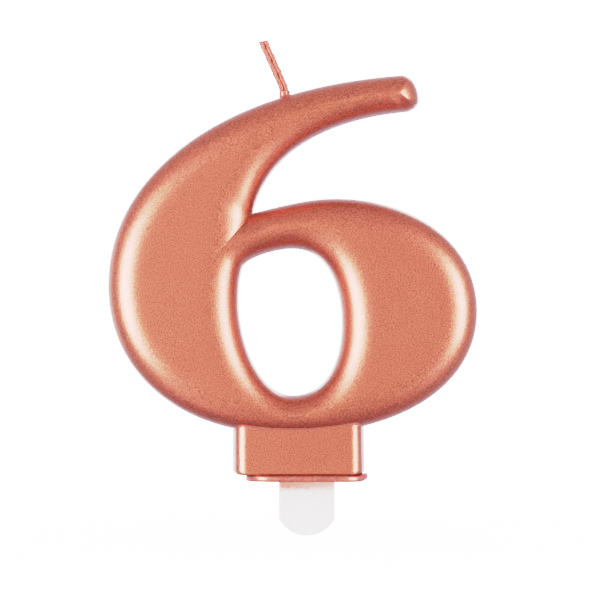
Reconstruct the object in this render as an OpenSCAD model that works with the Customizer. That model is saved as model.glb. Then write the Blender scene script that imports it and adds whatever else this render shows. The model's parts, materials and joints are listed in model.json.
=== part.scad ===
// Number birthday candle, a "6": a puffed wax numeral on a base block, with a plastic cake pick and a wick.
// Millimetres. The origin is the centre of the flange's underside, where the candle rests on the cake.
// +X is to the right of the numeral, +Z is up, and the front of the numeral looks along -Y.

/* [Numeral] */
// Height of the numeral, from its lowest point to its top
numeral_h = 60; // [50:1:75]
// Thickness of the numeral between the crowns of its two faces
numeral_t = 12; // [10:0.5:14]
// Distance from the edge at which a face reaches its full height
crown_w = 5.6; // [4:0.1:7]
// Thickness of the flat land along the parting line
land_t = 0.3; // [0.1:0.05:0.5]
// Height of the numeral's lowest point above the cake
numeral_z = 7.8; // [7:0.1:9]

/* [Base block] */
// Width of the block at its foot
block_w = 21.9; // [18:0.1:24]
// Depth of the block, front to back
block_d = 8.2; // [7:0.1:9]
// Height of the block's top, which is inside the numeral
block_top = 10.4; // [10:0.1:11]
// How far the block stands to the left of the flange's centre
block_shift = 1.4; // [0:0.1:2]
// Radius of the block's upright edges
block_edge = 1.4; // [0.8:0.1:1.8]
// Radius of the block's lower corners in the front view
block_corner = 0.9; // [0.4:0.1:1.4]
// Inward draft of each side face towards the front and back
block_draft = 0.6; // [0.2:0.1:0.8]

/* [Cake pick] */
// Length of the flange, left to right
flange_w = 20.4; // [18:0.1:24]
// Depth of the flange, front to back
flange_d = 9.6; // [8.4:0.1:12]
// Thickness of the flange
flange_t = 1.1; // [0.8:0.1:1.6]
// Width of the tongue that goes into the cake
tongue_w = 9.3; // [7:0.1:9.6]
// Thickness of the tongue and of the anchor blade
tongue_t = 1.7; // [1.2:0.1:2.4]
// Length of the tongue under the flange
tongue_l = 9.1; // [7:0.1:30]
// Radius of the arc at the tongue's end
tongue_end_r = 5.3; // [4.9:0.1:6]
// Width of the anchor blade over its barbs
anchor_w = 11.4; // [8:0.1:13]
// Height of the anchor blade above the flange
anchor_h = 6.6; // [5:0.1:7.5]
// Diameter of the keying hole that the wax fills
key_d = 2.8; // [1.5:0.1:3.2]

/* [Wick] */
// Diameter of the wick's braid
wick_d = 1.5; // [1.2:0.05:1.6]
// Length of the free wick above its hinge
wick_l = 8.4; // [5:0.1:12]
// Lean of the free wick to the left, in degrees
wick_lean = 24; // [0:0.5:30]
// Lean of the wax collar at the wick's root, in degrees
collar_lean = 10; // [0:1:15]
// Height of the hinge above the numeral's top edge, along the collar
collar_l = 1.5; // [1.4:0.1:3]
// Radius of the bend that takes the stem into the spine
stem_bend_r = 8; // [7:0.5:9]
// Length of the stem's straight run down the spine
stem_run = 20; // [5:1:22]

/* [Hidden] */

round_fn = 64;
edge_fn = 32;

// The outline is drawn 60 high, in X and Z, with its lowest point at height 0, and scaled to numeral_h.
drawn_h = 60;
outline_s = numeral_h / drawn_h;

// Outer edge, from the arm's tip round the left, the foot, the right and the bowl's top to the crotch.
outer_tip = [[18.6, 56.8], [18.35, 58.4], [17.3, 60.1], [15.8, 60]];
outer_left = [[15.8, 60], [-13.4, 57.9], [-33.2, 44.2], [-33.2, 24.85]];
outer_foot = [[-33.2, 24.85], [-33.2, 11.5], [-23, 0], [-2.7, 0]];
outer_right = [[-2.7, 0], [15.7, 0], [28.5, 8.2], [28.5, 20.5]];
outer_bowl = [[28.5, 20.5], [28.5, 32.3], [17.8, 39.4], [4.7, 39.4]];
outer_crotch = [[4.7, 39.4], [0.3, 39.4], [-4.5, 38.1], [-9, 37]];

// Inner edge, from the tip along the arm's underside to the crotch, then round the counter from its corner.
inner_tip = [[18.7, 55.9], [18.8, 54.7], [17.5, 53.9], [16.2, 53.8]];
inner_arm = [[16.2, 53.8], [5.6, 52.8], [-6.2, 48.5], [-9, 37]];
inner_corner = [[-10.7, 27.9], [-11.2, 26.4], [-11.4, 24.5], [-11.4, 22.4]];
inner_left = [[-11.4, 22.4], [-11.4, 14.8], [-7.6, 6.5], [-2.4, 6.5]];
inner_right = [[-2.4, 6.5], [3.1, 6.5], [5.8, 11.9], [5.8, 18.4]];
inner_top = [[5.8, 18.4], [5.8, 24.7], [3.6, 31], [-2.4, 31]];
inner_close = [[-2.4, 31], [-5, 31], [-10.1, 29.6], [-10.7, 27.9]];

// The spine and the bowl overlap at the crotch. Each one's own edge runs on from there under the other.
crotch = inner_arm[3];
spine_edge_end = inner_corner[0];
bowl_edge_end = [-20.5, 32.7];

// Rows across the stroke, from the outer edge to the inner, closer together near the edges than in the middle
half_rows = 8;
rows = 2 * half_rows;
row_crowding = 2;
function row_share(j) =
    j <= half_rows ? pow(j / half_rows, row_crowding) / 2 : 1 - pow((rows - j) / half_rows, row_crowding) / 2;

// Stretches of the stroke: an outer curve and the span of it, an inner curve and the span of it, and steps.
spine_share = 0.78;
seam_share = 0.95;
stretches = [
    [outer_tip, [0, 1], inner_tip, [0, 1], 7],
    [outer_left, [0, spine_share], inner_arm, [0, 1], 26],
    [outer_left, [spine_share, seam_share], [], [], rows],
    [outer_left, [seam_share, 1], inner_corner, [0, 0.4], 2],
    [outer_foot, [0, 0.14], inner_corner, [0.4, 1], 3],
    [outer_foot, [0.14, 1], inner_left, [0, 1], 16],
    [outer_right, [0, 1], inner_right, [0, 1], 16],
    [outer_bowl, [0, 1], inner_top, [0, 1], 16],
    [outer_crotch, [0, 1], inner_close, [0, 1], 10]
];
seam_stretch = 2;

// How the distances to two edges join: a higher power leaves a sharper ridge half way between them. The
// arm's tip has a ridge round its end facet that is sharper than the one along a narrow stroke.
ridge_power = 5;
tip_power = 14;
// How fast the end facet rises, as a share of the sides' rise
tip_slope = 0.75;

// Powers of a face's profile, a superellipse: across its width, and up its height
crown_power = 2;
wall_power = 3;

function bezier(c, t) =
    pow(1 - t, 3) * c[0] + 3 * pow(1 - t, 2) * t * c[1] + 3 * (1 - t) * t * t * c[2] + pow(t, 3) * c[3];

function place(p) = [p[0] * outline_s, p[1] * outline_s + numeral_z];

// A point on the seam, whose points are also the rows at the bowl's end
function seam_point(j) = place(crotch + (spine_edge_end - crotch) * row_share(j));

// Stations along the stroke: the outer and the inner point of each
function station(k, i) =
    let (s = stretches[k], u = i / s[4])
    [
        place(bezier(s[0], s[1][0] + (s[1][1] - s[1][0]) * u)),
        k == seam_stretch ? seam_point(i) : place(bezier(s[2], s[3][0] + (s[3][1] - s[3][0]) * u))
    ];
last_stretch = len(stretches) - 1;
stations = [
    for (k = [0 : last_stretch], i = [0 : stretches[k][4] - (k == last_stretch ? 0 : 1)]) station(k, i)
];
tip_end = stretches[0][4];
seam_start = tip_end + stretches[1][4];
seam_end = seam_start + rows;

function segment_distance(p, a, b) =
    let (ab = b - a, u = max(0, min(1, (p - a) * ab / (ab * ab))))
    norm(p - a - ab * u);
function path_distance(p, path) =
    min([for (i = [1 : len(path) - 1]) segment_distance(p, path[i - 1], path[i])]);
function side(p, a, b) = (b[0] - a[0]) * (p[1] - a[1]) - (b[1] - a[1]) * (p[0] - a[0]);

// The least of some distances, rounded off where they are nearly alike
tiny = 0.001;
function soft_least(distances, power) =
    let (weights = [for (d = distances) pow(max(d, tiny), -power)])
    pow(weights * [for (w = weights) 1], -1 / power);

// Height of the face above the parting plane at distance d from the edge: steep at first, then a flat crown
function face_height(d) =
    let (u = min(1, d / crown_w))
    max(land_t / 2, numeral_t / 2 * pow(1 - pow(1 - u, crown_power), 1 / wall_power));

// Where the free wick leaves the arm's top edge, as a share of that curve, and the wax collar round its root
wick_share = 0.243;
wick_exit = place(bezier(outer_left, wick_share));
collar_sink = 0.7;
collar_r_foot = wick_d / 2 + 0.3;
collar_r_top = wick_d / 2 + 0.12;
// How far the collar's rim and the stem's end lie below the hinge, clear of the leaning wick
rim_drop = 0.5;
stem_drop = wick_d / 2 + 0.1;

// Centre line of the stem in the frame of its root: straight to a little below the collar, round the bend,
// then down the spine. Each station is an X, a Z and the tube's turn from the collar's direction.
spine_slope = 45;
stem_turn = spine_slope + collar_lean;
stem_sides = 20;
bend_steps = 10;
bend_depth = 0.3;
bend_z = -collar_sink - bend_depth;
bend_end = [stem_bend_r * (cos(stem_turn) - 1), bend_z - stem_bend_r * sin(stem_turn)];
stem_line = [
    [0, collar_l - stem_drop, 0],
    for (i = [0 : bend_steps])
        let (a = stem_turn * i / bend_steps) [stem_bend_r * (cos(a) - 1), bend_z - stem_bend_r * sin(a), a],
    [bend_end[0] - stem_run * sin(stem_turn), bend_end[1] - stem_run * cos(stem_turn), stem_turn]
];

// Solid of the numeral's "6" before anything is cut out of it
module numeral_blank() {
    last = len(stations) - 1;
    tip = [for (i = [tip_end : -1 : 0]) stations[i][0], for (i = [0 : tip_end]) stations[i][1]];
    outer = [for (i = [tip_end : last]) stations[i][0]];
    inner_before = [for (i = [tip_end : seam_start]) stations[i][1]];
    inner_after = [for (i = [seam_end : last]) stations[i][1]];
    crotch_p = place(crotch);
    spine_end = place(spine_edge_end);
    bowl_end = place(bowl_edge_end);

    // Distance to the nearest edge, where the overlap counts for whichever of the two strokes is higher
    function edge_distance(p) =
        let (
            d_outer = path_distance(p, outer),
            d_inner = min(path_distance(p, inner_before), path_distance(p, inner_after)),
            on_spine = p[1] > crotch_p[1] || side(p, crotch_p, spine_end) < 0,
            on_bowl = side(p, crotch_p, bowl_end) > 0,
            d_spine = on_spine ? segment_distance(p, crotch_p, spine_end) : 0,
            d_bowl = on_bowl ? segment_distance(p, crotch_p, bowl_end) : 0,
            d_long = soft_least([d_outer, d_inner, max(d_spine, d_bowl)], ridge_power)
        )
        soft_least([d_long, tip_slope * path_distance(p, tip)], tip_power);

    function grid_point(i, j) = stations[i][0] + (stations[i][1] - stations[i][0]) * row_share(j);
    function on_edge(i, j) =
        i == 0 || j == 0 || (j == rows && (i <= seam_start || i >= seam_end));
    // The bowl's last column is the seam, and uses the points there of the spine's inner rows
    columns = last;
    front = [
        for (i = [0 : columns - 1], j = [0 : rows])
            let (p = grid_point(i, j), h = on_edge(i, j) ? land_t / 2 : face_height(edge_distance(p)))
            [p[0], -h, p[1]]
    ];
    count = len(front);
    back = [for (p = front) [p[0], -p[1], p[2]]];
    function at(i, j) = i == columns ? at(seam_start + j, rows) : i * (rows + 1) + j;
    front_faces = [
        for (i = [0 : columns - 1], j = [0 : rows - 1])
            for (f = [[at(i, j), at(i, j + 1), at(i + 1, j + 1)], [at(i, j), at(i + 1, j + 1), at(i + 1, j)]])
                f
    ];
    back_faces = [for (f = front_faces) [f[2] + count, f[1] + count, f[0] + count]];
    // The parting land runs round the outside and round the counter, but not along the seam
    rim = [
        for (j = [0 : rows - 1]) [at(0, j + 1), at(0, j)],
        for (i = [0 : columns - 1]) [at(i, 0), at(i + 1, 0)],
        for (i = [0 : columns - 1]) if (i < seam_start || i >= seam_end) [at(i + 1, rows), at(i, rows)]
    ];
    rim_faces = [
        for (e = rim)
            for (f = [[e[0], e[1], e[1] + count], [e[0], e[1] + count, e[0] + count]])
                f
    ];
    polyhedron(points = concat(front, back), faces = concat(front_faces, back_faces, rim_faces));
}

module block_plan() {
    half_w = block_w / 2;
    half_d = block_d / 2;
    hull() {
        for (x = [-1, 1], y = [-1, 1])
            translate([x * (half_w - block_draft - block_edge), y * (half_d - block_edge)])
                circle(r = block_edge, $fn = edge_fn);
        square([block_w, land_t], center = true);
    }
}

module block_front() {
    offset(r = block_corner, $fn = edge_fn)
        offset(delta = -block_corner)
            translate([-block_w / 2, flange_t])
                square([block_w, block_top - flange_t]);
}

module block_solid() {
    translate([-block_shift, 0, 0])
        intersection() {
            rotate([90, 0, 0])
                linear_extrude(block_d, center = true)
                    block_front();
            linear_extrude(block_top)
                block_plan();
        }
}

// Frame of the wick's root: the origin on the arm's edge, +Z along the collar
module at_root() {
    translate([wick_exit[0], 0, wick_exit[1]])
        rotate([0, -collar_lean, 0])
            children();
}

module collar_blank() {
    at_root()
        translate([0, 0, -collar_sink])
            cylinder(
                h = collar_sink + collar_l - rim_drop,
                r1 = collar_r_foot,
                r2 = collar_r_top,
                $fn = round_fn
            );
}

// The stem, a tube swept along stem_line
module stem_path() {
    last = len(stem_line) - 1;
    points = [
        for (s = stem_line, k = [0 : stem_sides - 1])
            let (a = 360 * k / stem_sides, across = wick_d / 2 * cos(a))
            [s[0] + across * cos(s[2]), wick_d / 2 * sin(a), s[1] - across * sin(s[2])]
    ];
    function at(i, k) = i * stem_sides + k % stem_sides;
    walls = [
        for (i = [0 : last - 1], k = [0 : stem_sides - 1])
            for (f = [[at(i, k), at(i + 1, k + 1), at(i + 1, k)], [at(i, k), at(i, k + 1), at(i + 1, k + 1)]])
                f
    ];
    top = [for (k = [stem_sides - 1 : -1 : 0]) at(0, k)];
    end = [for (k = [0 : stem_sides - 1]) at(last, k)];
    at_root()
        polyhedron(points = points, faces = concat([top, end], walls));
}

module anchor_blade() {
    barb_z = 2.2;
    step = 0.9;
    top_w = 8.4;
    key_share = 0.6;  // height of the keying hole's centre over the blade's height
    translate([0, 0, flange_t])
        rotate([90, 0, 0])
            linear_extrude(tongue_t, center = true)
                difference() {
                    polygon([
                        [-anchor_w / 2 + step, 0],
                        [anchor_w / 2 - step, 0],
                        [anchor_w / 2 - step, barb_z],
                        [anchor_w / 2, barb_z],
                        [top_w / 2, anchor_h],
                        [-top_w / 2, anchor_h],
                        [-anchor_w / 2, barb_z],
                        [-anchor_w / 2 + step, barb_z]
                    ]);
                    translate([0, anchor_h * key_share])
                        circle(d = key_d, $fn = round_fn);
                }
}

module numeral() {
    color("#c9775c")
        difference() {
            numeral_blank();
            block_solid();
            collar_blank();
            stem_path();
        }
}

module base_block() {
    color("#cf8064")
        difference() {
            block_solid();
            anchor_blade();
        }
}

module pick() {
    flange_r = 4.4;
    color("#e6e0dc") {
        linear_extrude(flange_t) {
            square([flange_w - 2 * flange_r, flange_d], center = true);
            square([flange_w, flange_d - 2 * flange_r], center = true);
            for (x = [-1, 1], y = [-1, 1])
                translate([x * (flange_w / 2 - flange_r), y * (flange_d / 2 - flange_r)])
                    circle(r = flange_r, $fn = round_fn);
        }
        anchor_blade();
        rotate([90, 0, 0])
            linear_extrude(tongue_t, center = true) {
                translate([-tongue_w / 2, tongue_end_r - tongue_l])
                    square([tongue_w, tongue_l - tongue_end_r]);
                intersection() {
                    translate([0, tongue_end_r - tongue_l])
                        circle(r = tongue_end_r, $fn = 2 * round_fn);
                    translate([-tongue_w / 2, -tongue_l])
                        square([tongue_w, tongue_l]);
                }
            }
    }
}

module wick_stem() {
    color("#e8d8c4")
        stem_path();
}

module wick_collar() {
    color("#c46a52")
        difference() {
            collar_blank();
            at_root()
                translate([0, 0, -2 * collar_sink])
                    cylinder(h = 2 * collar_sink + collar_l, d = wick_d, $fn = round_fn);
        }
}

module wick() {
    color("#d98e72")
        at_root()
            translate([0, 0, collar_l]) {
                sphere(d = wick_d, $fn = round_fn);
                rotate([0, collar_lean - wick_lean, 0])
                    cylinder(h = wick_l, d = wick_d, $fn = round_fn);
            }
}

numeral();
base_block();
pick();
wick_stem();
wick_collar();
wick();
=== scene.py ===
"""A metallic number candle, a "6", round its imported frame.

Lengths are in millimetres until a mesh is made.
"""

import json
import math

import bmesh
import bpy
import numpy as np
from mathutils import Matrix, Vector, noise


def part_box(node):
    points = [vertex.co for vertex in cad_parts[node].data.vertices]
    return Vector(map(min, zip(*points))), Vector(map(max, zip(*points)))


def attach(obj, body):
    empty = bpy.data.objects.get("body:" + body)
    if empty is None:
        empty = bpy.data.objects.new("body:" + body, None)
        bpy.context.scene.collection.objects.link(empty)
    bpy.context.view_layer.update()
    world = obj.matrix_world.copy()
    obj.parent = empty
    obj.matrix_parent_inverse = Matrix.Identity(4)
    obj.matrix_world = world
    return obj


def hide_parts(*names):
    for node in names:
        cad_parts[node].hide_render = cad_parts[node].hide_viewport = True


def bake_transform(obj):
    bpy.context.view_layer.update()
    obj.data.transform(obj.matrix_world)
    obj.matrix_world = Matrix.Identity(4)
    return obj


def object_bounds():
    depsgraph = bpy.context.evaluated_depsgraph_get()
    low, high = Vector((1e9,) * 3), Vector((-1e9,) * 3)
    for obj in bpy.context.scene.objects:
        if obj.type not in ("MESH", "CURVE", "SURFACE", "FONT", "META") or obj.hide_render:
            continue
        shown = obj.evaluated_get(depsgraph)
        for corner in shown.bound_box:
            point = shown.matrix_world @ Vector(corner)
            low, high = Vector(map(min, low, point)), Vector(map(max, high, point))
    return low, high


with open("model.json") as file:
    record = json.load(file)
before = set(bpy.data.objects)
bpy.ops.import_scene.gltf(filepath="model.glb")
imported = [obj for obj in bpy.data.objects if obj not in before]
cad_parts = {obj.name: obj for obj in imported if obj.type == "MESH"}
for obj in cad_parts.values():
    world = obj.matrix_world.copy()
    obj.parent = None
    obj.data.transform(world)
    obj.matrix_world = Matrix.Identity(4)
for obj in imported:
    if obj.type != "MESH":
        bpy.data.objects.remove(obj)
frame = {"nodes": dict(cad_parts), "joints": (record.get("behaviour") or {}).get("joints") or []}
cad_low, cad_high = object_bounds()

MM = 0.001  # one millimetre, in metres

# ---------------------------------------------------------------- helpers


def box_mm(node):
    """The lowest and highest corners of a CAD node, in millimetres."""
    return [np.array(corner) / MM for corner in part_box(node)]


def smoothstep(x, low=0.0, high=1.0):
    t = np.clip((x - low) / (high - low), 0, 1)
    return t * t * (3 - 2 * t)


def noise_at(points, size, seed=0.0):
    """Smooth noise from -1 to 1 at each point, with lumps of about that size."""
    return np.array([noise.noise(Vector(p) / size + Vector((seed, 0, 0))) for p in points])


def make_piece(name, vertices, faces, material, body, replaced=(), attributes=None):
    """A mesh object from points in millimetres, riding on a body unless that is None."""
    mesh = bpy.data.meshes.new(name)
    mesh.from_pydata((np.asarray(vertices, float) * MM).tolist(), [], [list(map(int, f)) for f in faces])
    bm = bmesh.new()
    bm.from_mesh(mesh)
    bmesh.ops.recalc_face_normals(bm, faces=bm.faces)
    bm.to_mesh(mesh)
    bm.free()
    mesh.polygons.foreach_set("use_smooth", [True] * len(mesh.polygons))
    for key, values in (attributes or {}).items():
        mesh.attributes.new(key, "FLOAT", "POINT").data.foreach_set("value", np.asarray(values, np.float32))
    mesh.materials.append(material)
    piece = bpy.data.objects.new(name, mesh)
    bpy.context.scene.collection.objects.link(piece)
    if replaced:
        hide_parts(*replaced)
    if body:
        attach(piece, body)
    return piece


def loft(rings, ladder=False):
    """Vertices and faces of a closed skin over rings of equal length.

    Its ends are single faces, or ladders of quads where each ring is symmetric, so that its point k lies
    opposite its point k from the end.
    """
    count = len(rings[0])
    vertices = np.concatenate([np.asarray(r, float) for r in rings])
    faces = []
    for i in range(len(rings) - 1):
        for k in range(count):
            a, b = i * count + k, i * count + (k + 1) % count
            faces.append((a, b, b + count, a + count))
    for start in (0, (len(rings) - 1) * count):
        if ladder:
            rungs = range(count // 2 - 1)
            faces += [(start + k, start + k + 1, start + count - 2 - k, start + count - 1 - k) for k in rungs]
        else:
            faces.append(tuple(range(start, start + count)))
    return vertices, faces


def joined(parts):
    """One list of vertices and faces from several."""
    vertices, faces, start = [], [], 0
    for v, f in parts:
        vertices.append(v)
        faces += [tuple(i + start for i in face) for face in f]
        start += len(v)
    return np.concatenate(vertices), faces


# ---------------------------------------------------------------- materials


def add(tree, kind, inputs=None, **settings):
    n = tree.nodes.new(kind)
    for key, value in settings.items():
        setattr(n, key, value)
    for key, value in (inputs or {}).items():
        if isinstance(value, bpy.types.NodeSocket):
            tree.links.new(value, n.inputs[key])
        else:
            n.inputs[key].default_value = value
    return n


def mix_colour(tree, factor, a, b):
    n = add(tree, "ShaderNodeMix", data_type="RGBA")
    for key, value in ((0, factor), (6, a), (7, b)):
        if isinstance(value, bpy.types.NodeSocket):
            tree.links.new(value, n.inputs[key])
        else:
            n.inputs[key].default_value = value
    return n.outputs[2]


def ranged(tree, value, low, high, to_low, to_high):
    """value mapped from low..high to to_low..to_high, and held there."""
    inputs = {"Value": value, "From Min": low, "From Max": high, "To Min": to_low, "To Max": to_high}
    return add(tree, "ShaderNodeMapRange", inputs).outputs["Result"]


def maths(tree, operation, a, b=0.0):
    return add(tree, "ShaderNodeMath", {0: a, 1: b}, operation=operation).outputs[0]


def grain(tree, size, detail=2.0, roughness=0.5, seed=0.0):
    """Noise with lumps of about size millimetres, in the object's own coordinates."""
    place = add(tree, "ShaderNodeTexCoord").outputs["Object"]
    moved = add(tree, "ShaderNodeVectorMath", {0: place, 1: (seed, seed, seed)}, operation="ADD")
    inputs = {
        "Vector": moved.outputs[0],
        "Scale": 1 / (size * MM),
        "Detail": detail,
        "Roughness": roughness,
    }
    return add(tree, "ShaderNodeTexNoise", inputs).outputs[0]


def attribute(tree, name):
    return add(tree, "ShaderNodeAttribute", attribute_name=name).outputs["Fac"]


def bump(tree, height, depth, under=None):
    """A bump of the given depth in millimetres over another."""
    inputs = {"Height": height, "Distance": depth * MM, "Strength": 1.0}
    if under is not None:
        inputs["Normal"] = under
    return add(tree, "ShaderNodeBump", inputs).outputs["Normal"]


def new_material(name):
    material = bpy.data.materials.new(name)
    material.use_nodes = True
    tree = material.node_tree
    shader = tree.nodes["Principled BSDF"]
    return material, tree, shader


COPPER_LIGHT = (0.75, 0.250, 0.160, 1)
COPPER_DEEP = (0.31, 0.110, 0.070, 1)
COPPER_CLOUD = (0.51, 0.150, 0.087, 1)
# Bare wax where the lacquer is thin, also used as painted shade at the block's junction
BARE_WAX_AND_SHADE = (0.42, 0.175, 0.16, 1)
FLAKE_TILT = 0.034


def lacquer(name, seed=0.0, flake=0.22, rough=(0.34, 0.48)):
    """Copper lacquer: fine metal flakes in a clear coat over wax, turning to bare wax colour by a point
    attribute: thin lacquer on the flash, and painted shade at the block's junction.
    """
    material, tree, shader = new_material(name)
    flakes = grain(tree, flake, 2.0, 0.6, seed)
    cloud = grain(tree, 7.0, 3.0, 0.55, seed + 3)
    peel = grain(tree, 1.6, 1.0, 0.5, seed + 5)
    sparkle = ranged(tree, flakes, 0.34, 0.66, 0.0, 1.0)
    colour = mix_colour(tree, sparkle, COPPER_DEEP, COPPER_LIGHT)
    colour = mix_colour(tree, ranged(tree, cloud, 0.35, 0.7, 0.0, 0.22), colour, COPPER_CLOUD)
    # Thin lacquer and painted shade: this attribute also darkens the block's junction rings
    thin_and_shade = attribute(tree, "thin_and_shade")
    colour = mix_colour(tree, thin_and_shade, colour, BARE_WAX_AND_SHADE)
    tree.links.new(colour, shader.inputs["Base Color"])
    tree.links.new(ranged(tree, thin_and_shade, 0.0, 1.0, 1.0, 0.45), shader.inputs["Metallic"])
    tree.links.new(ranged(tree, flakes, 0.3, 0.7, *rough), shader.inputs["Roughness"])
    tree.links.new(bump(tree, flakes, FLAKE_TILT, bump(tree, peel, 0.010)), shader.inputs["Normal"])
    shader.inputs["Coat Weight"].default_value = 0.9
    shader.inputs["Coat Roughness"].default_value = 0.38
    shader.inputs["Coat IOR"].default_value = 1.5
    return material


def milky_plastic(name, low_z, high_z):
    """Milky plastic with a speckled edge of lacquer overspray between two heights, heavier to the left."""
    material, tree, shader = new_material(name)
    place = add(tree, "ShaderNodeSeparateXYZ", {0: add(tree, "ShaderNodeTexCoord").outputs["Object"]})
    left = ranged(tree, place.outputs["X"], -4.0 * MM, 4.0 * MM, 1.0, 0.75)
    height = ranged(tree, place.outputs["Z"], low_z * MM, high_z * MM, 0.0, 1.0)
    speckle = grain(tree, 0.22, 3.0, 0.65)
    mist = maths(tree, "ADD", height, maths(tree, "MULTIPLY", maths(tree, "SUBTRACT", speckle, 0.5), 1.5))
    spray = maths(tree, "MULTIPLY", ranged(tree, mist, 0.08, 0.42, 0.0, 1.0), left)
    flow = grain(tree, 3.0, 2.0, 0.5, 2.0)
    plastic = mix_colour(tree, flow, (0.90, 0.86, 0.85, 1), (0.94, 0.91, 0.90, 1))
    tree.links.new(mix_colour(tree, spray, plastic, (0.64, 0.28, 0.22, 1)), shader.inputs["Base Color"])
    tree.links.new(ranged(tree, flow, 0.3, 0.7, 0.24, 0.36), shader.inputs["Roughness"])
    tree.links.new(bump(tree, grain(tree, 0.5, 2.0), 0.004), shader.inputs["Normal"])
    shader.inputs["Transmission Weight"].default_value = 0.2
    shader.inputs["IOR"].default_value = 1.49
    return material


# How fast the fibres' ridges repeat, in radians per millimetre along a strand and times round it
FIBRE_ALONG = 9.0
FIBRE_AROUND = 5.0
# Painted shade: the dark colour of the grooves between strands
GROOVE_SHADE_COLOUR = (0.16, 0.055, 0.04, 1)
CUT_COLOUR = (0.45, 0.36, 0.31, 1)


def wick_cotton(name, light, deep):
    """Plaited cotton under metallic lacquer. A point attribute, 1 deep between strands, darkens them there as
    painted shade; fibres wind along each.
    """
    material, tree, shader = new_material(name)
    along, around = attribute(tree, "along"), attribute(tree, "around")
    lengthwise = maths(tree, "MULTIPLY", along, FIBRE_ALONG)
    winding = maths(tree, "ADD", lengthwise, maths(tree, "MULTIPLY", around, FIBRE_AROUND))
    fibre = maths(tree, "SINE", winding)
    fuzz = grain(tree, 0.2, 3.0, 0.6)
    groove_shade = attribute(tree, "groove_shade")
    colour = mix_colour(tree, ranged(tree, fuzz, 0.35, 0.65, 0.0, 1.0), deep, light)
    # Painted shade darkening the grooves between strands
    colour = mix_colour(tree, groove_shade, colour, GROOVE_SHADE_COLOUR)
    colour = mix_colour(tree, attribute(tree, "cut"), colour, CUT_COLOUR)
    tree.links.new(colour, shader.inputs["Base Color"])
    shader.inputs["Metallic"].default_value = 0.9
    tree.links.new(ranged(tree, fuzz, 0.3, 0.7, 0.5, 0.66), shader.inputs["Roughness"])
    tree.links.new(bump(tree, fibre, 0.004, bump(tree, fuzz, 0.006)), shader.inputs["Normal"])
    return material


def waxed_cotton(name):
    """The bare braid inside the wax."""
    material, tree, shader = new_material(name)
    fuzz = grain(tree, 0.2, 3.0, 0.7)
    place = add(tree, "ShaderNodeTexCoord").outputs["Object"]
    wave = add(
        tree,
        "ShaderNodeTexWave",
        {"Vector": place, "Scale": 260.0, "Distortion": 1.5, "Detail": 1.0},
        bands_direction="DIAGONAL",
    ).outputs[0]
    colour = mix_colour(tree, fuzz, (0.70, 0.62, 0.50, 1), (0.88, 0.82, 0.72, 1))
    tree.links.new(colour, shader.inputs["Base Color"])
    tree.links.new(ranged(tree, fuzz, 0.3, 0.7, 0.4, 0.65), shader.inputs["Roughness"])
    tree.links.new(bump(tree, wave, 0.04, bump(tree, fuzz, 0.02)), shader.inputs["Normal"])
    return material


# ---------------------------------------------------------------- numeral

# The outline of the "6" in its own drawing, 60 high: Bezier curves, as in the CAD source.
OUTER = {
    "tip": [(18.6, 56.8), (18.35, 58.4), (17.3, 60.1), (15.8, 60)],
    "left": [(15.8, 60), (-13.4, 57.9), (-33.2, 44.2), (-33.2, 24.85)],
    "foot": [(-33.2, 24.85), (-33.2, 11.5), (-23, 0), (-2.7, 0)],
    "right": [(-2.7, 0), (15.7, 0), (28.5, 8.2), (28.5, 20.5)],
    "bowl": [(28.5, 20.5), (28.5, 32.3), (17.8, 39.4), (4.7, 39.4)],
    "crotch": [(4.7, 39.4), (0.3, 39.4), (-4.5, 38.1), (-9, 37)],
}
INNER = {
    "tip": [(18.7, 55.9), (18.8, 54.7), (17.5, 53.9), (16.2, 53.8)],
    "arm": [(16.2, 53.8), (5.6, 52.8), (-6.2, 48.5), (-9, 37)],
    "corner": [(-10.7, 27.9), (-11.2, 26.4), (-11.4, 24.5), (-11.4, 22.4)],
    "left": [(-11.4, 22.4), (-11.4, 14.8), (-7.6, 6.5), (-2.4, 6.5)],
    "right": [(-2.4, 6.5), (3.1, 6.5), (5.8, 11.9), (5.8, 18.4)],
    "top": [(5.8, 18.4), (5.8, 24.7), (3.6, 31), (-2.4, 31)],
    "close": [(-2.4, 31), (-5, 31), (-10.1, 29.6), (-10.7, 27.9)],
}
BOWL_EDGE_END = (-20.5, 32.7)
CREASE_L = 9.5
CROWN_W = 5.6
# Powers of the face's profile, a superellipse: across its width, and up its height
CROWN_POWER = 2.0
WALL_POWER = 3.0
# Powers of the soft least distance: to the stroke's long edges, and to those and the tip
RIDGE_POWER = 5
TIP_POWER = 14
# The arm's end facet slopes less than the sides: it rises as if the tip were nearer than it is
TIP_NEARER = 0.75
# The flash along the parting line: how far it stands out of the wall, and its half thickness
FLASH_W = 0.05
FLASH_T = 0.10
# Distances of the first rows from an edge, and the number and crowding of the rows from there to the middle
EDGE_ROWS = (0, FLASH_W, 0.055, 0.075, 0.11, 0.17, 0.26, 0.38, 0.54, 0.74, 1.0, 1.3)
MIDDLE_ROWS = 12
ROW_CROWDING = 1.3
HALF_ROWS = len(EDGE_ROWS) - 1 + MIDDLE_ROWS
ROWS = 2 * HALF_ROWS
# How far the face sinks, evenly and in lumps of two sizes, and the distances from an edge where that grows
SINK = 0.05
LUMP_SIZE, LUMP_DEPTH = 9.0, 0.035
FINE_LUMP_SIZE, FINE_LUMP_DEPTH = 3.0, 0.008
SINK_FROM_EDGE = (0.4, 4.0)


def bezier(control, t):
    c = np.asarray(control, float)
    t = np.atleast_1d(t)[:, None]
    return (1 - t) ** 3 * c[0] + 3 * (1 - t) ** 2 * t * c[1] + 3 * (1 - t) * t * t * c[2] + t**3 * c[3]


def chain(curves, names, steps=160):
    t = np.linspace(0, 1, steps)
    return np.concatenate([bezier(curves[n], t) for n in names])


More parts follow.
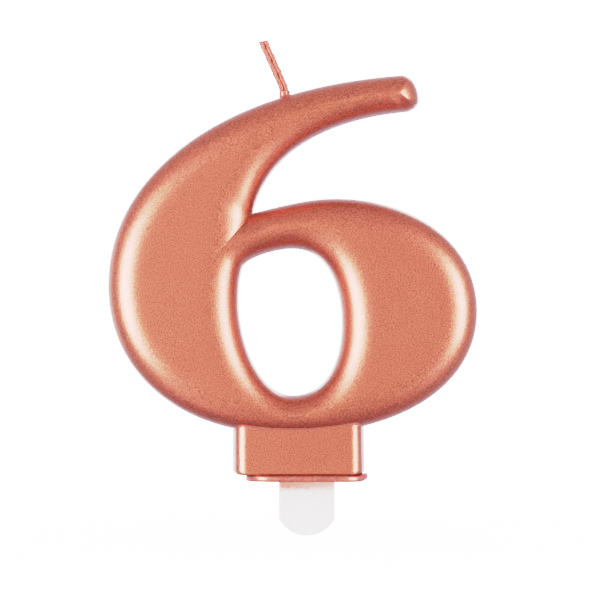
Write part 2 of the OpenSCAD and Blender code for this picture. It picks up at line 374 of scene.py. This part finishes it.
numeral_low, numeral_high = box_mm("numeral")
drawn = chain(OUTER, OUTER)
drawn_low, drawn_high = drawn.min(axis=0), drawn.max(axis=0)
OUTLINE_SCALE = (numeral_high[0] - numeral_low[0]) / (drawn_high[0] - drawn_low[0])
OUTLINE_SHIFT = np.array([numeral_high[0], numeral_high[2]]) - drawn_high * OUTLINE_SCALE
HALF_THICKNESS = (numeral_high[1] - numeral_low[1]) / 2


def placed(points):
    return np.asarray(points, float) * OUTLINE_SCALE + OUTLINE_SHIFT


CROTCH = placed(INNER["arm"][3])
SPINE_END = placed(INNER["corner"][0])
BOWL_END = placed(BOWL_EDGE_END)


def segment_distance(points, a, b):
    along = b - a
    u = np.clip((points - a) @ along / (along @ along), 0, 1)
    return np.linalg.norm(points - a - u[:, None] * along, axis=1)


def path_distance(points, path):
    best = np.full(len(points), np.inf)
    for a, b in zip(path[:-1], path[1:]):
        if np.any(a != b):
            best = np.minimum(best, segment_distance(points, a, b))
    return best


def side(points, a, b):
    return (b[0] - a[0]) * (points[:, 1] - a[1]) - (b[1] - a[1]) * (points[:, 0] - a[0])


def soft_least(distances, power):
    total = sum(np.maximum(d, 0.001) ** -power for d in distances)
    return total ** (-1 / power)


OUTER_PATH = placed(chain(OUTER, [n for n in OUTER if n != "tip"]))
ARM_PATH = placed(chain(INNER, ["arm"]))
COUNTER_PATH = placed(chain(INNER, ["corner", "left", "right", "top", "close"]))
TIP_PATH = placed(np.concatenate([chain(OUTER, ["tip"])[::-1], chain(INNER, ["tip"])]))


def edge_distance(points):
    """Distance to the nearest edge of the stroke. Where spine and bowl overlap, the higher one counts."""
    inner = np.minimum(path_distance(points, ARM_PATH), path_distance(points, COUNTER_PATH))
    on_spine = (points[:, 1] > CROTCH[1]) | (side(points, CROTCH, SPINE_END) < 0)
    on_bowl = side(points, CROTCH, BOWL_END) > 0
    spine = np.where(on_spine, segment_distance(points, CROTCH, SPINE_END), 0)
    bowl = np.where(on_bowl, segment_distance(points, CROTCH, BOWL_END), 0)
    long_edges = soft_least([path_distance(points, OUTER_PATH), inner, np.maximum(spine, bowl)], RIDGE_POWER)
    return soft_least([long_edges, TIP_NEARER * path_distance(points, TIP_PATH)], TIP_POWER)


def face_height(d):
    """Height of a face over the parting plane at distance d from the edge, with the flash at its foot."""
    u = np.clip((d - FLASH_W) / (CROWN_W - FLASH_W), 0, 1)
    crown = HALF_THICKNESS * (1 - (1 - u) ** CROWN_POWER) ** (1 / WALL_POWER)
    return np.maximum(crown, FLASH_T)


def row_shares(width):
    """Share of the stroke's width at each row, with rows crowded to both edges."""
    squeeze = min(1.0, width / 6.4)
    edge = np.array(EDGE_ROWS) * squeeze
    steps = (np.arange(1, MIDDLE_ROWS + 1) / MIDDLE_ROWS) ** ROW_CROWDING
    half = np.concatenate([edge, edge[-1] + (width / 2 - edge[-1]) * steps])
    return np.concatenate([half, width - half[-2::-1]]) / width


def seam_points():
    """Rows along the crease, between the spine's edge and the bowl's, and on to the counter."""
    spine = (SPINE_END - CROTCH) / np.linalg.norm(SPINE_END - CROTCH)
    bowl = (BOWL_END - CROTCH) / np.linalg.norm(BOWL_END - CROTCH)
    crease = CREASE_L * (spine + bowl) / np.linalg.norm(spine + bowl)
    rest = SPINE_END - CROTCH - crease
    length = CREASE_L + np.linalg.norm(rest)
    along = row_shares(length) * length
    ahead = np.clip(along / CREASE_L, 0, 1)[:, None]
    after = np.clip((along - CREASE_L) / (length - CREASE_L), 0, 1)[:, None]
    return CROTCH + crease * ahead + rest * after


# Stretches of the stroke: outer curve and span, inner curve and span, and steps
SPINE_SHARE = 0.78
SEAM_SHARE = 0.95
STRETCHES = [
    ("tip", (0, 1), "tip", (0, 1), 26),
    ("left", (0, SPINE_SHARE), "arm", (0, 1), 120),
    ("left", (SPINE_SHARE, SEAM_SHARE), None, None, ROWS),
    ("left", (SEAM_SHARE, 1), "corner", (0, 0.4), 8),
    ("foot", (0, 0.14), "corner", (0.4, 1), 10),
    ("foot", (0.14, 1), "left", (0, 1), 70),
    ("right", (0, 1), "right", (0, 1), 70),
    ("bowl", (0, 1), "top", (0, 1), 70),
    ("crotch", (0, 1), "close", (0, 1), 44),
]


def numeral_stations():
    """The outer and the inner point of each station, and where the seam starts and ends."""
    outer, inner = [], []
    for number, (out_name, out_span, in_name, in_span, steps) in enumerate(STRETCHES):
        last = number == len(STRETCHES) - 1
        u = np.arange(steps + (1 if last else 0)) / steps
        if last:  # the last stations crowd up to the crease
            u = 1 - (1 - u) ** 1.6
        outer.append(bezier(OUTER[out_name], out_span[0] + (out_span[1] - out_span[0]) * u))
        if in_name:
            inner.append(bezier(INNER[in_name], in_span[0] + (in_span[1] - in_span[0]) * u))
        else:
            inner.append((seam_points()[:-1] - OUTLINE_SHIFT) / OUTLINE_SCALE)
    start = STRETCHES[0][4] + STRETCHES[1][4]
    return placed(np.concatenate(outer)), placed(np.concatenate(inner)), start, start + ROWS


def numeral_grid():
    """Each station's row of points across the stroke, in plan, and where the seam starts and ends."""
    outer, inner, seam_start, seam_end = numeral_stations()
    columns = len(outer) - 1
    widths = np.linalg.norm(inner - outer, axis=1)
    shares = np.array([row_shares(w) for w in widths])
    grid = outer[:, None, :] + (inner - outer)[:, None, :] * shares[:, :, None]
    # The bowl's last stretch bends over to meet the crease
    first = columns - STRETCHES[-1][4]
    pull = smoothstep(np.arange(columns + 1), first, columns)
    bulge = seam_points() - grid[columns]
    grid += pull[:, None, None] * bulge[None]
    return grid[:columns], seam_start, seam_end


def numeral_height(points, d, on_edge):
    """Height of the face at each point. Cast wax is never quite even, so it sinks in lumps of two sizes."""
    height = np.where(on_edge, FLASH_T, face_height(d))
    lumps = noise_at(np.column_stack([points, np.zeros(len(points))]), LUMP_SIZE)
    fine = noise_at(np.column_stack([points, np.ones(len(points))]), FINE_LUMP_SIZE)
    sink = SINK + LUMP_DEPTH * lumps + FINE_LUMP_DEPTH * fine
    return height - sink * smoothstep(d, *SINK_FROM_EDGE) * ~on_edge


def numeral_faces(columns, seam_start, seam_end, count):
    """Quads of the front, of the back, whose points follow the front's, and of the flash between them."""

    def at(i, j):
        return at(seam_start + j, ROWS) if i == columns else i * (ROWS + 1) + j

    faces = []
    for i in range(columns):
        for j in range(ROWS):
            quad = (at(i, j), at(i + 1, j), at(i + 1, j + 1), at(i, j + 1))
            faces.append(quad)
            faces.append(tuple(k + count for k in quad[::-1]))
    rim = [(at(0, j), at(0, j + 1)) for j in range(ROWS)]
    rim += [(at(i, 0), at(i + 1, 0)) for i in range(columns)]
    rim += [(at(i, ROWS), at(i + 1, ROWS)) for i in range(columns) if not seam_start <= i < seam_end]
    return faces + [(a, b, b + count, a + count) for a, b in rim]


def build_numeral(material):
    grid, seam_start, seam_end = numeral_grid()
    columns = len(grid)
    points = grid.reshape(-1, 2)
    d = edge_distance(points)
    column, row = np.divmod(np.arange(len(points)), ROWS + 1)
    on_seam = (column > seam_start) & (column < seam_end)
    on_edge = (column == 0) | (row == 0) | ((row == ROWS) & ~on_seam)
    height = numeral_height(points, d, on_edge)
    front = np.column_stack([points[:, 0], -height, points[:, 1]])
    back = front * (1, -1, 1)
    # The lacquer is thin on the flash
    thin_and_shade = 0.5 * np.exp(-((np.where(on_edge, 0, d) / 0.1) ** 2))
    return make_piece(
        "numeral_body",
        np.concatenate([front, back]),
        numeral_faces(columns, seam_start, seam_end, len(front)),
        material,
        "candle",
        ["numeral"],
        {"thin_and_shade": np.concatenate([thin_and_shade, thin_and_shade])},
    )


# ---------------------------------------------------------------- base block

block_low, block_high = box_mm("base_block")
flange_low, flange_high = box_mm("pick")
# Quarter of the block's plan: distance in from the side, and distance from the parting plane. A drafted side
# with flash, a rounded shoulder, a bevel and a flat face, drawn for a half depth of 4.1.
BLOCK_PLAN = [(0, 0.10), (0.05, 0.12), (0.07, 0.30), (0.20, 1.2), (0.36, 2.2), (0.50, 2.8), (0.64, 3.15)]
BLOCK_PLAN += [(0.78, 3.36), (0.94, 3.52), (1.12, 3.66), (1.32, 3.79), (1.54, 3.90), (1.78, 3.99)]
BLOCK_PLAN += [(2.05, 4.06), (2.35, 4.09), (2.65, 4.10)]
BLOCK_HALF_DEPTH = 4.1
BLOCK_FACE_STEPS = 26
BLOCK_FOOT_R = 0.9
BLOCK_LEAN = 0.14  # how far the foot of the right side stands out past its top
BLOCK_CHAMFER = 0.05  # share of the depth lost at the very foot
# Heights of the rows over the foot, the number of rows above them, and the rows at the junction: the distance
# under it and an outward flare
BLOCK_FOOT_LEVELS = [0, 0.05, 0.12, 0.22, 0.35, 0.5, 0.7, 0.9]
BLOCK_BODY_ROWS = 8
BLOCK_JUNCTION = [(0.9, 0.0), (0.5, 0.0), (0.3, 0.01), (0.16, 0.03), (0.06, 0.07), (-0.02, 0.13)]
BLOCK_JUNCTION += [(-0.08, 0.22)]


def belly_height(x, y):
    """Height at which the numeral's underside is as far from the parting plane as y."""
    outline = placed(chain(OUTER, ["foot", "right"]))
    order = np.argsort(outline[:, 0])
    bottom = np.interp(x, outline[order, 0], outline[order, 1])
    low = bottom + 0.001
    high = bottom + 4.0
    for _ in range(22):
        middle = (low + high) / 2
        short = face_height(edge_distance(np.column_stack([x, middle]))) < np.abs(y)
        low, high = np.where(short, middle, low), np.where(short, high, middle)
    return (low + high) / 2


def block_loop():
    """A loop round the block's plan, about its middle: the front from left to right, then the back."""
    half_w = (block_high[0] - block_low[0]) / 2
    deep = (block_high[1] - block_low[1]) / 2 / BLOCK_HALF_DEPTH
    inset = np.array([p[0] for p in BLOCK_PLAN])
    depth = np.array([p[1] for p in BLOCK_PLAN]) * deep
    face_x = np.linspace(-(half_w - inset[-1]), half_w - inset[-1], BLOCK_FACE_STEPS + 1)[1:-1]
    front_x = np.concatenate([-(half_w - inset), face_x, (half_w - inset)[::-1]])
    front_y = np.concatenate([-depth, np.full(len(face_x), -depth[-1]), -depth[::-1]])
    return np.concatenate([front_x, front_x[::-1]]), np.concatenate([front_y, -front_y[::-1]])


def block_rings(x, y, centre):
    """Rings of the block's side, from the foot up to the junction with the numeral's underside."""
    half_w = (block_high[0] - block_low[0]) / 2
    top = belly_height(centre + x, y)
    foot = block_low[2]
    tangent = np.column_stack([np.roll(x, -1) - np.roll(x, 1), np.roll(y, -1) - np.roll(y, 1)])
    outward = np.column_stack([tangent[:, 1], -tangent[:, 0]]) / np.linalg.norm(tangent, axis=1)[:, None]

    def ring(z, flare, squeeze):
        # The side's foot is rounded in the front view, and the front's foot has a small chamfer
        up = np.clip((z - foot) / BLOCK_FOOT_R, 0, 1)
        narrow = BLOCK_FOOT_R * (1 - np.sqrt(1 - (1 - up) ** 2))
        px = np.sign(x) * np.maximum(np.abs(x) - narrow * (np.abs(x) / half_w) ** 3, 0)
        py = y * (1 - squeeze)
        lean = BLOCK_LEAN * np.clip(x / half_w, 0, 1) * (1 - (z - foot) / (top - foot))
        points = np.column_stack([centre + px + lean - BLOCK_LEAN / 2 * (x > 0), py, z])
        points[:, :2] += outward * np.asarray(flare)[..., None]
        return points

    rings = []
    for level in BLOCK_FOOT_LEVELS:
        z = foot + np.full(len(x), level)
        rings.append(ring(z, np.zeros(len(x)), BLOCK_CHAMFER * (1 - smoothstep(level, 0, 0.22))))
    start = foot + BLOCK_FOOT_LEVELS[-1]
    for i in range(1, BLOCK_BODY_ROWS + 1):
        z = start + (top - BLOCK_JUNCTION[0][0] - start) * i / BLOCK_BODY_ROWS
        rings.append(ring(z, np.zeros(len(x)), 0))
    for below, flare in BLOCK_JUNCTION[1:]:
        rings.append(ring(top - below, np.full(len(x), flare), 0))
    return rings


def drawn_in(ring, centre):
    """A copy of a ring drawn in to a smaller one, for the middle of an end."""
    small = ring.copy()
    small[:, 0] = centre + (small[:, 0] - centre) * 0.6
    small[:, 1] *= 0.3
    return small


def build_block(material):
    centre = (block_low[0] + block_high[0]) / 2
    x, y = block_loop()
    rings = block_rings(x, y, centre)
    inside = drawn_in(rings[-1], centre)
    inside[:, 2] = block_high[2]
    rings = [drawn_in(rings[0], centre)] + rings + [inside]
    vertices, faces = loft(rings, ladder=True)
    wobble = noise_at(vertices, 5.0, 11.0)
    vertices[:, 1] += 0.03 * wobble * np.sign(vertices[:, 1])
    # The lacquer is thin on the flash. The last rings at the junction are painted darker and less metallic:
    # painted shade where the block meets the numeral
    by_ring = np.repeat(np.arange(len(rings)), len(x))
    thin_and_shade = np.tile(np.exp(-((np.abs(y) / 0.2) ** 2)) * 0.5, len(rings))
    # Painted shade: the rings at the junction with the numeral take the darker bare wax colour
    thin_and_shade = np.maximum(thin_and_shade, np.where(by_ring >= len(rings) - 5, 0.45, 0.0))
    return make_piece(
        "base_block_body",
        vertices,
        faces,
        material,
        "candle",
        ["base_block"],
        {"thin_and_shade": thin_and_shade},
    )


# ---------------------------------------------------------------- cake pick


def inset_outline(points, amount):
    """A closed outline moved inward by amount, along its mitred corners. The outline runs anticlockwise."""
    before, after = points - np.roll(points, 1, axis=0), np.roll(points, -1, axis=0) - points
    before /= np.linalg.norm(before, axis=1)[:, None]
    after /= np.linalg.norm(after, axis=1)[:, None]
    n1 = np.column_stack([-before[:, 1], before[:, 0]])
    n2 = np.column_stack([-after[:, 1], after[:, 0]])
    mitre = n1 + n2
    return points + amount * 2 * mitre / (mitre * mitre).sum(axis=1)[:, None]


def rounded_rectangle(half_w, half_d, radius, steps=14):
    points = []
    for k, (sx, sy) in enumerate([(1, 1), (-1, 1), (-1, -1), (1, -1)]):
        for a in np.radians(np.linspace(90 * k, 90 * k + 90, steps)):
            x = sx * (half_w - radius) + radius * math.cos(a)
            y = sy * (half_d - radius) + radius * math.sin(a)
            points.append((x, y))
    return np.array(points)


FLANGE_T = 1.1
FLANGE_R = 4.4
# Distance in from the edge, and height, up one side
FLANGE_EDGE = [(4.2, 0), (3.0, 0), (1.6, 0), (0.6, 0), (0.26, 0.03), (0.08, 0.13), (0, 0.32)]
TONGUE_W = 9.3
TONGUE_END_R = 5.3
# Distance in from the edge, and distance from the middle plane
TONGUE_EDGE = [(0.7, 0.85), (0.34, 0.83), (0.13, 0.74), (0.03, 0.58), (0, 0.36)]


def build_flange(material):
    half_w = (flange_high[0] - flange_low[0]) / 2
    half_d = (flange_high[1] - flange_low[1]) / 2
    profile = FLANGE_EDGE + [(inset, FLANGE_T - z) for inset, z in FLANGE_EDGE[::-1]]
    rings = []
    for inset, z in profile:
        plan = rounded_rectangle(half_w - inset, half_d - inset, max(FLANGE_R - inset, 0.1))
        rings.append(np.column_stack([plan, np.full(len(plan), z)]))
    vertices, faces = loft(rings, ladder=True)
    # The rim is a little wavy, and its right end curls up
    rim = smoothstep(np.hypot(vertices[:, 0] / half_w, vertices[:, 1] / half_d), 0.75, 1.0)
    vertices[:, 2] += 0.05 * noise_at(vertices * (1, 1, 0), 2.6, 4.0) * rim
    curl = smoothstep(vertices[:, 0], half_w - 1.3, half_w)
    vertices[:, 2] += 0.34 * curl
    vertices[:, 2] = np.maximum(vertices[:, 2], 0)
    thin_and_shade = np.clip(0.35 + 0.25 * noise_at(vertices, 1.2, 8.0), 0, 1)
    return make_piece(
        "pick_flange", vertices, faces, material, "candle", ["pick"], {"thin_and_shade": thin_and_shade}
    )


def build_tongue(material):
    tongue_l = -flange_low[2]
    half = TONGUE_W / 2
    centre_z = TONGUE_END_R - tongue_l
    # The right half of the outline, from the arc's lowest point up to the middle of the top
    arc = np.linspace(-math.pi / 2, -math.acos(half / TONGUE_END_R), 31)[1:]
    end = np.column_stack([TONGUE_END_R * np.cos(arc), centre_z + TONGUE_END_R * np.sin(arc)])
    up = np.linspace(end[-1][1], FLANGE_T / 2, 14)[1:]
    right = np.concatenate([end, np.column_stack([np.full(len(up), half), up])])
    outline = np.concatenate([right, right[::-1] * (-1, 1)])
    profile = [(inset, -y) for inset, y in TONGUE_EDGE] + TONGUE_EDGE[::-1]
    rings = []
    for inset, y in profile:
        plan = inset_outline(outline, inset)
        rings.append(np.column_stack([plan[:, 0], np.full(len(plan), y), plan[:, 1]]))
    vertices, faces = loft(rings, ladder=True)
    vertices[:, 1] += 0.02 * noise_at(vertices * (1, 0, 1), 3.0, 6.0)
    return make_piece("pick_tongue", vertices, faces, material, "candle", ["pick"])


# ---------------------------------------------------------------- wick

joint = frame["joints"][0]
HINGE = np.array(joint["pos_m"]) / MM
WICK_D = 1.5
ROOT_LEAN = math.radians(10)
WICK_LEAN = math.radians(24)
ROOT_DROP = 1.5  # from the hinge down to the arm's top edge
BEND_HALF = 1.1  # the braid bends from the root's lean to the wick's over this much on each side of the hinge
# Four strands, one at each corner of a square braid, that weave a little from side to side
STRANDS = [(-1, -1), (1, -1), (1, 1), (-1, 1)]
STRAND_SIDES = 14
STRAND_R = 0.39
STRAND_AT = 0.35
WEAVE_PITCH = 2.6
WEAVE = 0.035
CUT_TILT = math.radians(9)


def wick_axis(samples, start):
    """Points, leans and lengths along the wick's middle, measured from the hinge."""
    wick_low, wick_high = box_mm("wick")
    top = wick_high[2] - HINGE[2]
    length = (top - WICK_D / 2 * math.sin(WICK_LEAN)) / math.cos(WICK_LEAN)
    s = np.linspace(start, length, samples)
    lean = ROOT_LEAN + (WICK_LEAN - ROOT_LEAN) * smoothstep(s, -BEND_HALF, BEND_HALF)
    step = np.diff(s)
    x = np.concatenate([[0], np.cumsum(-np.sin((lean[1:] + lean[:-1]) / 2) * step)])
    z = np.concatenate([[0], np.cumsum(np.cos((lean[1:] + lean[:-1]) / 2) * step)])
    # The middle passes through the hinge
    x -= np.interp(0, s, x)
    z -= np.interp(0, s, z)
    return np.column_stack([HINGE[0] + x, np.full(samples, HINGE[1]), HINGE[2] + z]), lean, s


def strand_frames(k, centre, across, s):
    """A strand's middle, and two directions square to it, at each sample."""
    right, back = STRANDS[k]
    phase = 2 * math.pi * s / WEAVE_PITCH + k * math.pi / 2
    path = centre + across * (STRAND_AT * right + WEAVE * np.sin(phase))[:, None]
    path[:, 1] += STRAND_AT * back + WEAVE * np.cos(phase)
    direction = np.gradient(path, axis=0)
    direction /= np.linalg.norm(direction, axis=1)[:, None]
    u = np.cross(np.array([0, 1, 0]), direction)
    u /= np.linalg.norm(u, axis=1)[:, None]
    return path, u, np.cross(direction, u)


def strand_rings(k, centre, across, top, s):
    """A strand's rings, from inside the arm up to a slightly crowned cut."""
    path, u, v = strand_frames(k, centre, across, s)
    cut_point, cut_normal = centre[-1], np.array([-math.sin(CUT_TILT), 0, math.cos(CUT_TILT)])
    angles = np.arange(STRAND_SIDES) * 2 * math.pi / STRAND_SIDES
    uneven = np.array([noise.noise(Vector((t * 1.7, k * 5.0, 0))) for t in s])
    swell = 1 + 0.05 * np.sin(4 * math.pi * s / WEAVE_PITCH + k) + 0.05 * uneven
    rings = [
        path[i] + STRAND_R * swell[i] * (np.cos(angles)[:, None] * u[i] + np.sin(angles)[:, None] * v[i])
        for i in range(len(s))
    ]
    # The strands stop below the cut, and the last ring lies on it
    keep = [r for r in rings if np.all((r - cut_point) @ cut_normal < -0.12)]
    last = keep[-1]
    reach = -((last - cut_point) @ cut_normal) / (top @ cut_normal)
    edge = last + reach[:, None] * top
    middle = edge.mean(axis=0)
    keep += [edge * 0.97 + middle * 0.03, middle + (edge - middle) * 0.8 + cut_normal * 0.05]
    keep += [middle + (edge - middle) * 0.35 + cut_normal * 0.07]
    return keep


def build_wick(material):
    centre, lean, s = wick_axis(150, -2.4)
    across = np.column_stack([np.cos(lean), np.zeros(len(s)), np.sin(lean)])
    top = np.array([-np.sin(lean[-1]), 0, np.cos(lean[-1])])
    angles = np.arange(STRAND_SIDES) * 2 * math.pi / STRAND_SIDES
    parts, along_values, around_values, groove_shade, cut = [], [], [], [], []
    for k in range(len(STRANDS)):
        rings = strand_rings(k, centre, across, top, s)
        parts.append(loft(rings))
        for i, ring in enumerate(rings):
            sample = min(i, len(s) - 1)
            reach_out = np.linalg.norm(ring - centre[sample], axis=1)
            # Painted shade: points nearer the wick's middle, on the strands' facing sides, get more of the dark
            # groove colour
            depth = np.clip(1.15 - reach_out / (WICK_D / 2 * 0.72), 0, 1)
            along_values.append(np.full(STRAND_SIDES, s[sample]))
            around_values.append(angles)
            groove_shade.append(depth if i < len(rings) - 3 else np.zeros(STRAND_SIDES))
            cut.append(np.full(STRAND_SIDES, 1.0 if i >= len(rings) - 2 else 0.0))
    vertices, faces = joined(parts)
    piece = make_piece(
        "wick_braid",
        vertices,
        faces,
        material,
        None,
        ["wick"],
        {
            "along": np.concatenate(along_values),
            "around": np.concatenate(around_values),
            "groove_shade": np.concatenate(groove_shade),
            "cut": np.concatenate(cut),
        },
    )
    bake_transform(piece)
    return piece


def build_bead(material):
    """The bead of wax at the wick's root: a lathed skin with lumps and one small nub."""
    up = np.array([-math.sin(ROOT_LEAN), 0, math.cos(ROOT_LEAN)])
    right = np.array([math.cos(ROOT_LEAN), 0, math.sin(ROOT_LEAN)])
    root = HINGE - up * ROOT_DROP
    # Radius, and height over the arm's top edge
    profile = [(0.9, -0.8), (1.3, -0.5), (1.26, -0.3), (1.12, -0.16), (1.03, 0), (0.97, 0.2), (0.93, 0.45)]
    profile += [(0.90, 0.7), (0.86, 0.88), (0.80, 0.97), (0.72, 0.98), (0.62, 0.9), (0.5, 0.78)]
    count = 48
    angles = np.arange(count) * 2 * math.pi / count
    rings = []
    for radius, z in profile:
        ring = []
        for a in angles:
            lump = noise.noise(Vector((math.cos(a) * 1.3, math.sin(a) * 1.3, z * 1.6 + 7)))
            nub = 0.24 * math.exp(-((math.remainder(a, 2 * math.pi) / 0.35) ** 2) - ((z - 0.62) / 0.16) ** 2)
            r = 0.94 * radius * (1 + 0.07 * lump) + nub
            level = root + up * (z + 0.05 * lump)
            ring.append(level + right * r * math.cos(a) + np.array([0, 1, 0]) * r * math.sin(a))
        rings.append(np.array(ring))
    vertices, faces = loft(rings)
    thin_and_shade = np.clip(0.25 + 0.5 * noise_at(vertices, 0.5, 3.0), 0, 1)
    return make_piece(
        "wick_bead", vertices, faces, material, "candle", ["wick_collar"], {"thin_and_shade": thin_and_shade}
    )


# ---------------------------------------------------------------- build

numeral_lacquer = lacquer("numeral_lacquer")
build_numeral(numeral_lacquer)
build_block(lacquer("block_lacquer", seed=0.3))
build_flange(lacquer("flange_lacquer", seed=0.6, flake=0.34, rough=(0.34, 0.5)))
build_tongue(milky_plastic("tongue_plastic", -1.9, 0.1))
build_wick(wick_cotton("wick_lacquered", (0.55, 0.22, 0.18, 1), (0.45, 0.165, 0.125, 1)))
build_bead(lacquer("bead_lacquer", seed=0.9, flake=0.2))
frame["nodes"]["wick_stem"].data.materials.clear()
frame["nodes"]["wick_stem"].data.materials.append(waxed_cotton("stem_cotton"))

# ---------------------------------------------------------------- stage, light and camera

scene = bpy.context.scene
FLOOR_Z = cad_low[2]
FLOOR_SIZE = 3.6
# Light that shows as white, the room's light on matt surfaces, and how the light between shows
WHITE = 6.0
ROOM_LIGHT = 2.5
TONES = [(0.06, 0.038), (0.15, 0.11), (0.3, 0.27), (0.6, 0.60), (0.75, 0.69), (1.0, 0.76), (1.5, 0.83)]
TONES += [(2.5, 0.91), (4.0, 0.97)]


def build_floor():
    material, tree, shader = new_material("pale_floor")
    tone = grain(tree, 40.0, 2.0)
    pale = mix_colour(tree, tone, (0.93, 0.93, 0.93, 1), (0.95, 0.95, 0.95, 1))
    tree.links.new(pale, shader.inputs["Base Color"])
    shader.inputs["Roughness"].default_value = 0.9
    shader.inputs["Specular IOR Level"].default_value = 0.0
    shader.inputs["Emission Color"].default_value = (1, 1, 1, 1)
    shader.inputs["Emission Strength"].default_value = WHITE - ROOM_LIGHT
    bpy.ops.mesh.primitive_circle_add(
        vertices=96, radius=FLOOR_SIZE / 2, fill_type="NGON", location=(0, 0, FLOOR_Z)
    )
    floor = bpy.context.object
    floor.name = "studio_floor"
    floor.data.materials.append(material)
    floor.visible_glossy = False  # the candle's gloss shows the dark room under it
    floor.visible_diffuse = False


def area_light(name, azimuth, elevation, width, height, radiance, colour=(1, 1, 1)):
    """A softbox aimed at the candle, from azimuth 0 in front or 90 at the right. Matt surfaces don't see it."""
    a, e = math.radians(azimuth), math.radians(elevation)
    direction = Vector((math.sin(a) * math.cos(e), -math.cos(a) * math.cos(e), math.sin(e)))
    data = bpy.data.lights.new(name, "AREA")
    data.shape = "RECTANGLE"
    data.size, data.size_y = width, height
    data.energy = radiance * math.pi * width * height
    data.color = colour
    light = bpy.data.objects.new(name, data)
    scene.collection.objects.link(light)
    light.location = LIGHT_CENTRE + direction * LIGHT_DISTANCE
    light.rotation_euler = direction.to_track_quat("Z", "Y").to_euler()
    light.visible_camera = False
    light.visible_diffuse = False


LIGHT_CENTRE = Vector((0, 0, 0.03))
LIGHT_DISTANCE = 0.8
SOFT_WHITE = (1.0, 0.94, 1.0)
# The room that gloss sees: level with the candle, above, below, in front and behind
ROOM_LEVEL = (0.80, 0.85, 0.96, 1)
ROOM_ABOVE = (0.80, 0.74, 0.80, 1)
ROOM_BELOW = (0.64, 0.43, 0.52, 1)
ROOM_FRONT = (0.92, 0.89, 0.86, 1)
ROOM_SHEET = (0.85, 0.97, 1.22, 1)


def build_world():
    """A white studio for the camera, and a greyer room for gloss: redder below, a cool sheet behind."""
    world = bpy.data.worlds.new("studio")
    scene.world = world
    world.use_nodes = True
    tree = world.node_tree
    tree.nodes.clear()
    place = add(tree, "ShaderNodeTexCoord").outputs["Generated"]
    parts = add(tree, "ShaderNodeSeparateXYZ", {0: place})
    depth, height = parts.outputs["Y"], parts.outputs["Z"]
    above = ranged(tree, height, 0.1, 0.9, 0.0, 1.0)
    below = ranged(tree, height, -0.60, -1.0, 0.0, 1.0)
    front = ranged(tree, depth, -0.6, -0.95, 0.0, 1.0)
    sheet = ranged(tree, depth, 0.50, 0.70, 0.0, 1.0)
    room = mix_colour(tree, above, ROOM_LEVEL, ROOM_ABOVE)
    room = mix_colour(tree, below, room, ROOM_BELOW)
    room = mix_colour(tree, front, room, ROOM_FRONT)
    room = mix_colour(tree, sheet, room, ROOM_SHEET)
    rays = add(tree, "ShaderNodeLightPath").outputs
    bright = ranged(tree, rays["Is Camera Ray"], 0.0, 1.0, ROOM_LIGHT, WHITE)
    strength = ranged(tree, rays["Is Glossy Ray"], 0.0, 1.0, bright, 1.0)
    colour = mix_colour(tree, rays["Is Glossy Ray"], (1, 1, 1, 1), room)
    background = add(tree, "ShaderNodeBackground", {"Color": colour, "Strength": strength})
    output = add(tree, "ShaderNodeOutputWorld")
    tree.links.new(background.outputs[0], output.inputs[0])


def set_tones():
    """A photographic tone curve: a soft toe, and a long shoulder up to white."""
    view = scene.view_settings
    view.view_transform = "Standard"
    view.use_curve_mapping = True
    view.curve_mapping.white_level = (WHITE, WHITE, WHITE)
    curve = view.curve_mapping.curves[3]
    for scene_light, shown in TONES:
        curve.points.new(scene_light / WHITE, shown)
    for point in curve.points:
        point.handle_type = "AUTO_CLAMPED"
    view.curve_mapping.update()


def build_camera():
    """A long lens, level, square on to the front. The view is 100.3 wide at the candle."""
    distance, view_w = 600.0, 100.3
    data = bpy.data.cameras.new("camera")
    data.sensor_width = 36.0
    data.lens = data.sensor_width * distance / view_w
    camera = bpy.data.objects.new("camera", data)
    scene.collection.objects.link(camera)
    camera.location = Vector((-1.14, -distance, 30.25)) * MM
    camera.rotation_euler = (math.radians(90), 0, 0)
    scene.camera = camera


build_floor()
build_world()
area_light("softbox_left", -46, -2, 0.28, 0.48, 24.0, SOFT_WHITE)
area_light("softbox_left_low", -38, -42, 0.30, 0.30, 2.0, SOFT_WHITE)
area_light("softbox_right", 51, 3, 0.26, 0.58, 17.0, SOFT_WHITE)
area_light("softbox_right_low", 46, -34, 0.30, 0.26, 1.6, SOFT_WHITE)
area_light("fill_left", -30, -4, 0.30, 0.40, 1.6, SOFT_WHITE)
area_light("rim_left", -128, 0, 0.30, 0.60, 1.0)
area_light("rear_left", -164, 0, 0.14, 0.60, 5.0)
area_light("rear_right", 166, 10, 0.14, 0.60, 5.0)
build_camera()
set_tones()
